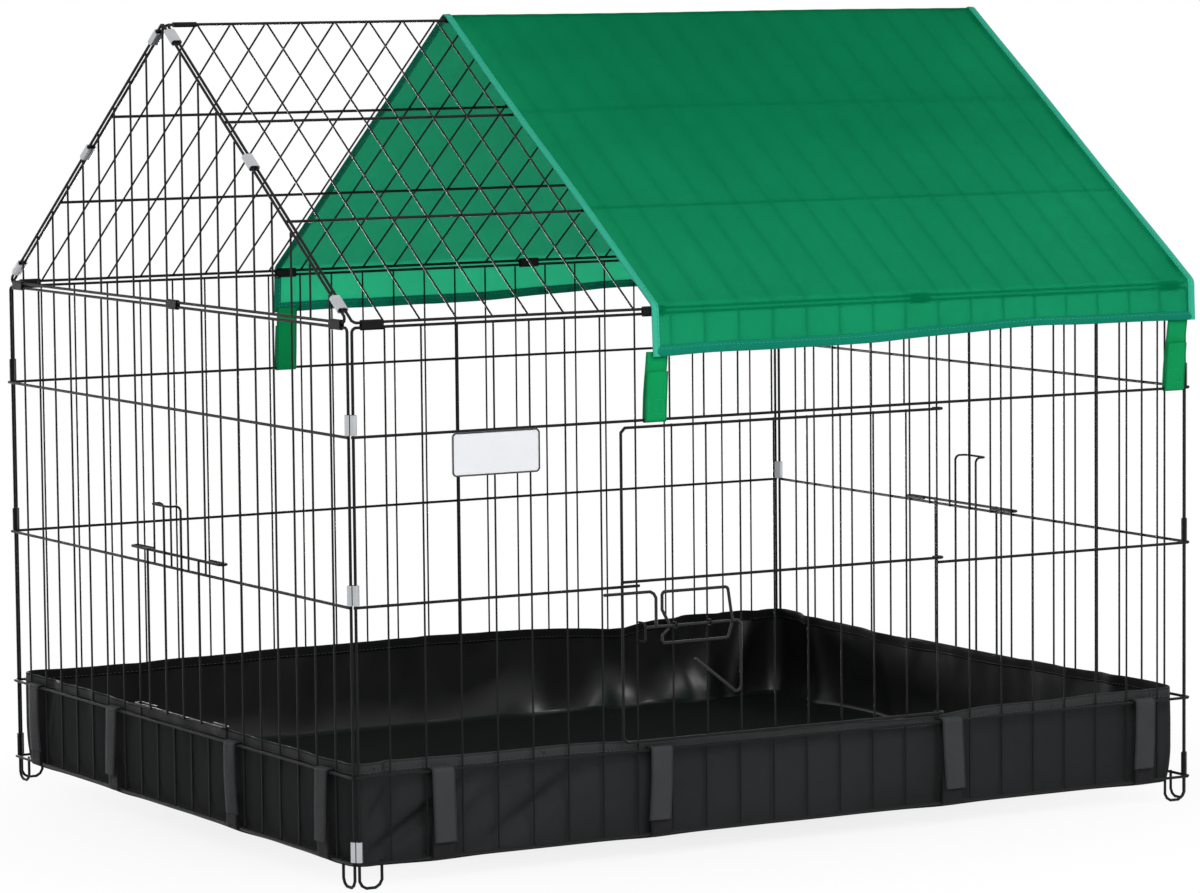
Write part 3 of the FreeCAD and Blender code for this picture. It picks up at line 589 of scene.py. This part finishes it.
def wall_run(marks, wall, place):
    """Run round the tray of a place on one of its walls, in x on the front and back, or in y."""
    way = 1 if wall < 2 else -1
    half, middle = ((HALF_FRONT, TRAY_MIDDLE), (HALF_END, 0.0))[wall % 2]
    return marks[2 * wall] + half + way * (place - middle)


def rim_height(s, marks):
    """Height of the rim at a run round the tray: slack between the straps, and gently rippled."""
    walls = [np.array(points) * MM for points in RIM]
    run = np.concatenate([wall_run(marks, k, points[:, 0]) for k, points in enumerate(walls)])
    height = np.concatenate(walls)[:, 1]
    return np.interp(s, run, height, period=marks[-1]) + 0.0006 * np.sin(s * 37)


def bells(rows, marks, s, h):
    """Sum of inward folds, each a bell along the run that its slant shifts with height."""
    wall, place, depth, spread, slant = np.array(rows).T
    at = marks[2 * wall.astype(int)] + place
    run = s[None, :, None] - slant * (h[..., None] - 0.5) * FOLD_RISE
    return (depth * -MM * np.exp(-((run - at) / (spread * MM)) ** 2)).sum(axis=-1)


def tray_wall(points, normals, s, marks, height):
    """Tray wall at a share of its height: the loop pushed in and out by folds, and its height.

    Folds are bells along the run that fade towards the base; drawn folds rise aslant from the
    front-left corner and fade towards hem and base. Between straps the cloth bellies out half way
    up. Near two corners the foot of the wall runs into the floor in a wide cove.
    """
    h = np.atleast_1d(height)[:, None]
    fold = bells(FOLDS, marks, s, h) * (0.25 + 0.75 * h)
    fold += bells(DRAWN_FOLDS, marks, s, h) * np.sin(np.pi * np.clip(h / HEM_FOOT, 0, 1))
    straps = [wall_run(marks, k, (FRONT_STRAPS, END_STRAPS)[k % 2]) for k in range(4)]
    near_strap = np.exp(-((s[:, None] - np.concatenate(straps)) / STRAP_HOLD) ** 2).sum(axis=1)
    belly = 0.0016 * np.sin(np.pi * h) * (1 - near_strap)
    ripple = 0.0007 * np.sin(s * 61 + 3 * h) * h + 0.0005 * np.sin(s * 143 + 1.3) * h
    tuck = -0.004 * (1 - h) ** 6
    upright = bells([(*cove, 0) for cove in COVES], marks, s, np.zeros((1, 1)))[0]
    cove = upright * np.clip(1 - near_strap, 0, 1) * (1 - h) ** 3
    push = np.minimum(fold + belly + ripple + tuck + cove, MOST_OUT)
    foot = TRAY_BASE + 0.0012 * (1 - near_strap)
    z = foot + (rim_height(s, marks) - foot) * h
    place = points[None] + normals[None] * push[..., None]
    return np.concatenate([place, z[..., None]], axis=-1)


def make_tray():
    """The tray as one sheet: the floor as shrinking copies of the loop, then the wall.

    Its faces look inwards, and its thickness is laid outside them with the next material.
    """
    wall_rows, floor_rows = 24, 16
    points, normals, s, marks = tray_loop(TRAY_POINTS)
    wall = tray_wall(points, normals, s, marks, np.linspace(0, 1, wall_rows))
    middle = np.array([TRAY_MIDDLE, 0.0])
    share = np.linspace(0.02, 1, floor_rows, endpoint=False)[:, None, None] ** 0.6
    flat = middle + (wall[0, :, :2] - middle) * (0.012 + 0.985 * share)
    x, y = flat[..., 0], flat[..., 1]
    wrinkle = 0.0015 * np.sin(x * 17 + 2 * np.sin(y * 11)) * np.sin(y * 14)
    level = TRAY_FLOOR + wrinkle * (1 - share[..., 0] ** 4)
    rows = np.concatenate([np.concatenate([flat, level[..., None]], axis=-1), wall])
    uv = np.concatenate([flat, np.stack(np.broadcast_arrays(s[None], wall[..., 2]), axis=-1)])
    verts = np.concatenate([rows.reshape(-1, 3), [[*middle, TRAY_FLOOR]]])
    uvs = np.concatenate([uv.reshape(-1, 2), [middle]])
    faces = grid_faces(len(rows), TRAY_POINTS, loop_cols=True)
    inner = np.arange(TRAY_POINTS)
    hub = np.full(TRAY_POINTS, len(verts) - 1)
    fan = np.stack([inner, np.roll(inner, -1), hub], axis=1)
    piece = new_piece("tray_cloth", verts, [*faces[:, ::-1].tolist(), *fan.tolist()], uvs)
    on_wall = np.arange(len(faces) + len(fan))
    on_wall = (on_wall >= floor_rows * TRAY_POINTS) & (on_wall < len(faces))
    number_faces(piece, np.where(on_wall, 0, 2))
    return thicken(piece, TRAY_SHEET, offset=-1.0, next_material=1)


def make_tray_stitching():
    """Two rows of stitches along the foot of the hem, outside and inside."""
    points, normals, s, marks = tray_loop(2 * TRAY_POINTS)
    line = tray_wall(points, normals, s, marks, 1 - HEM_SEAM / TRAY_HEIGHT)[0]
    line = np.concatenate([line, line[:1]])
    out = np.concatenate([normals, normals[:1]])
    out = np.concatenate([out, np.zeros((len(out), 1))], axis=1)
    rows = [(line + out * 0.0010, out), (line - out * 0.0018, -out)]
    return stitching("tray_hem_stitching", rows)


def make_tray_hem():
    """Hem round the rim: a flat rolled profile, 11 mm deep, carried round the wall's upper edge.

    Its outer half has the first material, and its inner half the second.
    """
    ring = 14
    points, normals, s, marks = tray_loop(TRAY_POINTS)
    turn = np.linspace(0, 2 * np.pi, ring, endpoint=False)
    down = 0.0052 + 0.0060 * squared(np.cos(turn), 0.4)
    out = -0.0004 + 0.0014 * squared(np.sin(turn), 0.7)
    rim = tray_wall(points, normals, s, marks, 1 - np.clip(down, 0, 1) / TRAY_HEIGHT)
    rim[..., :2] += normals[None] * out[:, None, None]
    rim[..., 2] += np.where(down < 0, -down, 0)[:, None]
    uv = np.stack(np.broadcast_arrays(s[None], down[:, None]), axis=-1)
    faces = grid_faces(ring, TRAY_POINTS, True, True)
    piece = new_piece("tray_hem", rim.reshape(-1, 3), faces, uv.reshape(-1, 2))
    number_faces(piece, np.repeat(np.arange(ring) >= ring // 2, TRAY_POINTS))
    return piece


# Sides of the cage: turn in degrees, the wall's distance from the middle, the tray's inside that
SIDES = {
    "front": (0, WALL_Y, 0.0087),
    "right": (90, WALL_X, 0.0087),
    "back": (180, WALL_Y, 0.0087),
    "left": (270, WALL_X, 0.0032),
}
LEANS = {
    "front": (0.002, -0.003, 0.004, -0.002),
    "right": (0.003, -0.004, 0.002, 0.003),
    "back": (-0.003, 0.002, 0.003, -0.002),
    "left": (0.004, -0.006, 0.005, -0.003),
}


def to_side(local, side):
    """Turn points of a panel, seen from outside with +Y into the cage, to their side of the cage."""
    angle, distance, _ = SIDES[side]
    c, s = np.cos(np.radians(angle)), np.sin(np.radians(angle))
    x, y, z = local[..., 0], local[..., 1] - distance, local[..., 2]
    return np.stack([c * x - s * y, s * x + c * y, z], axis=-1)


def tape_grid(place, path, lean=0.0, twist=0.0, cup=0.0):
    """One tape: a rounded (y, z) path swept sideways by the strap's width.

    Along its run t from 0 to 1 the tape shifts by lean * t^2, turns about its middle line by
    twist * t^2, and its middle stands proud by cup * (1 - (2u - 1)^2) * t.
    """
    line = smooth_path(path, 0.004)
    run = run_along(line)
    t = (run / run[-1])[:, None]
    u = np.linspace(0, 1, 7)[None, :]
    side = (u - 0.5) * STRAP_WIDTH
    x = place + lean * t ** 2 + side * np.cos(twist * t ** 2)
    y = line[:, :1] - cup * (1 - (2 * u - 1) ** 2) * t + side * np.sin(twist * t ** 2)
    uv = np.stack(np.broadcast_arrays(u * STRAP_WIDTH, run[:, None]), axis=-1)
    return np.stack(np.broadcast_arrays(x, y, line[:, 1:]), axis=-1), uv


def tape_piece(name, tapes, side, thickness):
    """Several tapes of one side of the cage as one piece."""
    verts, uvs, faces, start = [], [], [], 0
    for grid, uv in tapes:
        rows, cols = grid.shape[:2]
        verts.append(to_side(grid, side).reshape(-1, 3))
        uvs.append(uv.reshape(-1, 2))
        faces.append(grid_faces(rows, cols, start=start))
        start += rows * cols
    piece = new_piece(name, np.concatenate(verts), np.concatenate(faces), np.concatenate(uvs))
    return thicken(piece, thickness)


def make_tray_straps(side):
    """Four straps of one wall, out of the hem, over the low rail and down outside, and their tabs.

    A tab comes out under the bottom rail and up behind its strap.
    """
    sewn = SIDES[side][2] - 0.0003
    places = {"front": FRONT_STRAPS, "back": -FRONT_STRAPS[::-1]}.get(side, END_STRAPS)
    top = LOW_RAIL + RAIL / 2 + 0.0010
    under = BOTTOM_RAIL - RAIL / 2 - 0.0010
    outer, inner = -(RAIL + 0.0030), -(RAIL + 0.0011)
    flap = [(sewn, top), (0.0, top + 0.0004), (outer, top),
            (outer - 0.0006, STRAP_BELLY), (outer, STRAP_FOOT)]
    tab = [(sewn, under), (inner, under), (inner, TAB_TOP)]
    set_out = list(zip(places, LEANS[side]))
    flaps = [tape_grid(x, flap, lean, twist=lean * 10, cup=0.0008) for x, lean in set_out]
    tabs = [tape_grid(x, tab, lean * 0.4) for x, lean in set_out]
    straps = tape_piece(f"{side}_tray_straps", flaps, side, STRAP_SHEET)
    lower = tape_piece(f"{side}_tray_lower_tabs", tabs, side, TAB_SHEET)
    return (dress(straps, [black_tape], "black_webbing", f"{side}_tray_flaps"),
            dress(lower, [tab_tape], "black_webbing", f"{side}_tray_tabs"))


tray_skins = [tray_inside, tray_cloth, tray_floor, tray_cloth]
tray = dress(make_tray(), tray_skins, "tray_fabric", "tray")
tray_hem = dress(make_tray_hem(), [tray_hem_cloth, tray_hem_inside], "tray_fabric")
tray_stitching = dress(make_tray_stitching(), [black_thread], "tray_fabric")
tray_tapes = [tape for side in SIDES for tape in make_tray_straps(side)]


# Roof cover

COVER_LEFT, COVER_RIGHT, COVER_HEM = -0.165, 0.505, 0.517
EAVE = np.array([0.0014, 0.5548])
SLOPE = np.array([0.4112, 0.2852]) / np.hypot(0.4112, 0.2852)
COVER_LIFT, COVER_STAND = 0.0045, -0.0022
VALANCE = 0.043
RAKE_TAPE, HEM_TAPE = 0.0075, 0.009
TAPE_HALF = 0.0011


def cover_profile():
    """(y, z) line of the cover, front hem over ridge to back hem, with y from the front wall."""
    normal = np.array([-SLOPE[1], SLOPE[0]])
    on_slope = EAVE + normal * COVER_LIFT
    eave = on_slope + SLOPE * (COVER_STAND - on_slope[0]) / SLOPE[0]
    ridge = on_slope + SLOPE * (WALL_Y - on_slope[0]) / SLOPE[0]
    front = np.array([[COVER_STAND, COVER_HEM], eave, ridge])
    back = front[1::-1] * [-1, 1] + [2 * WALL_Y, 0]
    return smooth_path(np.concatenate([front, back]), 0.003, 0.003)


def cover_length():
    """Length of the cover's profile from hem to hem."""
    return np.linalg.norm(np.diff(cover_profile(), axis=0), axis=1).sum()


def cover_surface(x, s, lift=0.0):
    """Cover at x along the ridge and s along its profile; lift moves it out along the normal.

    The cloth sags a little between the roof wires, dips in wide soft hollows, and its valances
    ripple outwards towards a hem that is not quite level and hangs lower on the left. Its left edge
    runs askew: 4 mm to the right of its mean line in front, and 5 mm to the left of it from the
    ridge backwards.
    """
    line = cover_profile()
    run = run_along(line)
    x, s = np.broadcast_arrays(x, s)
    y, z = np.interp(s, run, line[:, 0]), np.interp(s, run, line[:, 1])
    tangent = unit(np.gradient(line, run, axis=0))
    ny, nz = -np.interp(s, run, tangent[:, 1]), np.interp(s, run, tangent[:, 0])
    end = np.minimum(s, run[-1] - s)
    valance = np.clip(1 - end / VALANCE, 0, 1)
    slope = np.clip((end - 0.05) / 0.05, 0, 1)
    sag = -0.0002 * np.sin(np.pi * (x + ROOF_STEP / 2) / ROOF_STEP) ** 2 * slope
    hollow = 0.0004 * np.sin(x * 13 + 1.0) * np.sin(s * 21) * slope
    wide, narrow = 1 + np.sin(x * 31 + 0.5), 1 + np.sin(x * 77 + s)
    ripple = valance ** 1.5 * (0.0010 * wide + 0.0006 * narrow)
    off = lift + sag + hollow + ripple
    slack = np.clip((0.26 - x) / 0.22, 0, 1)
    hem = valance * (0.0007 * np.sin(x * 19 + 2.0) + 0.0004 * np.sin(x * 47) - 0.009 * slack)
    back = np.clip((s - VALANCE) / 0.5, 0, 1)
    askew = 0.004 - 0.009 * back ** 2 * (3 - 2 * back)
    x = x + askew * (COVER_RIGHT - x) / (COVER_RIGHT - COVER_LEFT)
    return np.stack([x, y + ny * off - WALL_Y, z + nz * off + hem], axis=-1)


def make_cover():
    """The cover's cloth: a grid over its width and its profile."""
    rows, cols = 260, 166
    x = np.linspace(COVER_LEFT, COVER_RIGHT, cols)[None, :]
    s = np.linspace(0, cover_length(), rows)[:, None]
    verts = cover_surface(x, s)
    uv = np.stack(np.broadcast_arrays(x, s), axis=-1)
    faces = grid_faces(rows, cols)
    piece = new_piece("cover_cloth", verts.reshape(-1, 3), faces, uv.reshape(-1, 2))
    return thicken(piece, COVER_SHEET)


def binding(name, materials, along, depth, at):
    """Tape folded over an edge of the cover: a flat oval profile carried along the edge.

    at(a, b) gives the cover's (x, s) for a along the edge and b in from it; the profile's other
    direction is the cover's normal. The outer half has the first material, the inner the second.
    """
    ring, count = 12, len(along)
    turn = np.linspace(0, 2 * np.pi, ring, endpoint=False)
    inward = depth * (0.44 + 0.56 * squared(np.cos(turn), 0.5))
    lift = TAPE_HALF * squared(np.sin(turn), 0.6)
    x, s = at(along[:, None], inward[None, :])
    verts = cover_surface(x, s, lift[None, :])
    uv = np.stack(np.broadcast_arrays(inward[None, :], along[:, None]), axis=-1)
    first = np.arange(ring)
    last = first[::-1] + (count - 1) * ring
    faces = [*grid_faces(count, ring, loop_cols=True).tolist(), first.tolist(), last.tolist()]
    piece = new_piece(name, verts.reshape(-1, 3), faces, uv.reshape(-1, 2))
    number_faces(piece, np.concatenate([np.tile(first >= ring // 2, count - 1), [False, False]]))
    return dress(piece, materials, "cover_fabric")


def cover_edges():
    """The cover's four edges: name, tape outside and inside, run along the edge, depth of the tape,
    and the (x, s) of a point a along the edge and b in from it.
    """
    end = cover_length()
    rake = np.linspace(0.0, end, 400)
    hem = np.linspace(COVER_LEFT + 0.004, COVER_RIGHT - 0.004, 200)
    # The inner half of each rake binding takes the darker hem tape as painted shade on the light teal
    # tape.
    at_rake, at_hem = [rake_binding, hem_tape_and_rake_shade], [hem_tape_and_rake_shade, hem_tape_and_rake_shade]
    return [
        ("cover_left_binding", at_rake, rake, RAKE_TAPE, lambda a, b: (COVER_LEFT + b, a)),
        ("cover_right_binding", at_rake, rake, RAKE_TAPE, lambda a, b: (COVER_RIGHT - b, a)),
        ("cover_front_hem", at_hem, hem, HEM_TAPE, lambda a, b: (a, b)),
        ("cover_back_hem", at_hem, hem, HEM_TAPE, lambda a, b: (a, end - b)),
    ]


def make_cover_stitching():
    """A row of stitches on each face of the four binding tapes, at seven tenths of their depth."""
    rows = []
    for _, _, run, depth, at in cover_edges():
        x, s = np.broadcast_arrays(*at(run, np.full_like(run, depth * 0.7)))
        middle = cover_surface(x, s)
        out = unit(cover_surface(x, s, 0.001) - middle)
        rows += [(middle + out * TAPE_HALF, out), (middle - out * TAPE_HALF, -out)]
    return stitching("cover_stitching", rows)


def make_cover_strap(side, x, lean, node):
    """Strap sewn inside the hem, down behind the upper rail, round it and back up in front.

    Its top leans over by lean times its rise to the power of 1.5.
    """
    under = UPPER_RAIL - RAIL / 2 - 0.0009
    top = COVER_HEM + (0.004 if x > 0 else -0.005)
    sewn, inner, outer = -0.0008, 0.0009, -RAIL - 0.0009
    path = [(sewn, top), (sewn, 0.500), (inner, 0.470), (inner, under),
            (outer, under), (outer - 0.0001, 0.470), (outer + 0.0003, 0.492)]
    grid, uv = tape_grid(x if side == "front" else -x, path)
    rise = (grid[..., 2] - under) / (top - under)
    grid[..., 0] += lean * rise ** 1.5
    piece = tape_piece(f"{node}_tape", [(grid, uv)], side, STRAP_SHEET)
    return dress(piece, [green_tape], "green_webbing", node)


def make_strap_stitching(straps):
    """Sewn box near the foot of each cover strap: four rows of stitches on its outer face."""
    half, low, high, count = 0.0085, 0.450, 0.464, 12
    box = np.array([(-half, low), (half, low), (half, high), (-half, high), (-half, low)])
    share = np.linspace(0, 1, count)[:, None]
    rows = []
    for side, x, _, _ in straps:
        centre = x if side == "front" else -x
        for start, end in zip(box, box[1:]):
            flat = start + (end - start) * share
            face = np.full(count, -RAIL - 0.0016)
            local = np.stack([centre + flat[:, 0], face, flat[:, 1]], axis=1)
            line = to_side(local, side)
            rows.append((line, to_side(local - [0, 1, 0], side) - line))
    return stitching("cover_strap_stitching", rows, pitch=0.0028, thread=0.0003)


# Cover straps: side, x, lean of the top, and the node that each stands for
COVER_STRAPS = [
    ("front", -0.159, 0.004, "front_left_cover_strap"),
    ("front", 0.479, 0.007, "front_right_cover_strap"),
    ("back", -0.159, -0.003, "back_left_cover_strap"),
    ("back", 0.477, 0.003, "back_right_cover_strap"),
]
cover = dress(make_cover(), [cover_cloth], "cover_fabric", "cover")
cover_tapes = [make_cover_strap(*strap) for strap in COVER_STRAPS]
cover_trim = [binding(*edge) for edge in cover_edges()]
cover_trim += [dress(make_cover_stitching(), [green_thread], "cover_fabric"),
               dress(make_strap_stitching(COVER_STRAPS), [green_thread], "green_webbing")]


# Floor, light and camera

WHITE = (1, 1, 1, 1)


def seen_by_eye(n):
    """1 for rays that show the surroundings: from the camera, in reflections and through glass."""
    path = n.add("ShaderNodeLightPath").outputs
    mirrored = n.math("MAXIMUM", path["Is Glossy Ray"], path["Is Transmission Ray"])
    return n.math("MAXIMUM", path["Is Camera Ray"], mirrored)


def make_floor():
    """Pale floor: near the cage it takes the shadow, and further out it is seen to fade to white."""
    half = 9.0
    corners = [(-half, -half, 0), (half, -half, 0), (half, half, 0), (-half, half, 0)]
    floor = new_piece("floor", corners, [[0, 1, 2, 3]])
    material, n, shader, output = new_material("pale floor")
    shader.inputs["Base Color"].default_value = (0.86, 0.86, 0.86, 1)
    shader.inputs["Roughness"].default_value = 0.8
    where = n.add("ShaderNodeTexCoord").outputs["Object"]
    away = n.add("ShaderNodeVectorMath", Vector=n.mapped(where, (0.85, 1.0, 1.0)))
    away.operation = "LENGTH"
    fade = n.spread(away.outputs["Value"], 0.25, 0.75, 0.80, 1.0)
    share = n.math("MULTIPLY", seen_by_eye(n), fade, clamp=True)
    glow = n.add("ShaderNodeEmission", Color=WHITE, Strength=1.0)
    mix = n.add("ShaderNodeMixShader", _0=share, _1=shader.outputs[0], _2=glow.outputs[0])
    n.put(output, "Surface", mix.outputs[0])
    floor.data.materials.append(material)


def soft_lamp(name, power, size, place, target):
    """Soft box of a (width, height) that faces its target."""
    data = bpy.data.lights.new(name, "AREA")
    data.energy = power
    data.shape = "RECTANGLE"
    data.size, data.size_y = size
    lamp = bpy.data.objects.new(name, data)
    scene.collection.objects.link(lamp)
    back = unit(np.subtract(place, target))
    side = unit(np.cross((0, 0, 1), back))
    up = np.cross(back, side)
    turned = np.eye(4)
    turned[:3] = np.stack([side, up, back, place], axis=1)
    lamp.matrix_world = Matrix(turned.tolist())


def make_light():
    """White surroundings, dimmer overhead and on the left, and three soft boxes.

    One is in front on the left, one on the right, and one low behind.
    """
    world = bpy.data.worlds.new("studio")
    world.use_nodes = True
    world.node_tree.nodes.clear()
    n = Nodes(world.node_tree)
    look = n.add("ShaderNodeTexCoord").outputs["Generated"]
    look = n.add("ShaderNodeSeparateXYZ", Vector=look).outputs
    level = n.math("MULTIPLY", n.spread(look[2], -0.2, 1.0, 0.52, 0.12),
                   n.spread(look[0], -1.0, 1.0, 0.7, 1.2))
    lit = n.add("ShaderNodeBackground", Color=WHITE, Strength=level)
    backdrop = n.add("ShaderNodeBackground", Color=WHITE, Strength=1.0)
    mix = n.add("ShaderNodeMixShader", _0=seen_by_eye(n), _1=lit.outputs[0], _2=backdrop.outputs[0])
    n.add("ShaderNodeOutputWorld", Surface=mix.outputs[0])
    scene.world = world
    soft_lamp("key soft box", 60.0, (1.8, 1.8), (-0.7, -2.5, 1.8), (0, 0, 0.4))
    soft_lamp("right soft box", 28.0, (0.8, 0.8), (2.8, -1.4, 1.8), (0, 0, 0.4))
    soft_lamp("back soft box", 42.0, (1.8, 0.4), (0.2, 1.85, 0.24), (0.2, 0.4, 0.5))


def make_camera():
    """Camera at the photograph's place: a long lens, a little above the cage, from the front left."""
    data = bpy.data.cameras.new("camera")
    data.lens = 152.64
    data.sensor_width = 36.0
    data.sensor_fit = "HORIZONTAL"
    data.clip_end = 100.0
    camera = bpy.data.objects.new("camera", data)
    scene.collection.objects.link(camera)
    camera.matrix_world = Matrix([
        [0.868061, 0.054911, -0.493411, -2.71744],
        [-0.496357, 0.076046, -0.864781, -4.78997],
        [-0.009964, 0.995591, 0.093268, 0.89207],
        [0, 0, 0, 1]])
    scene.camera = camera


make_floor()
make_light()
make_camera()
scene.view_settings.view_transform = "Standard"
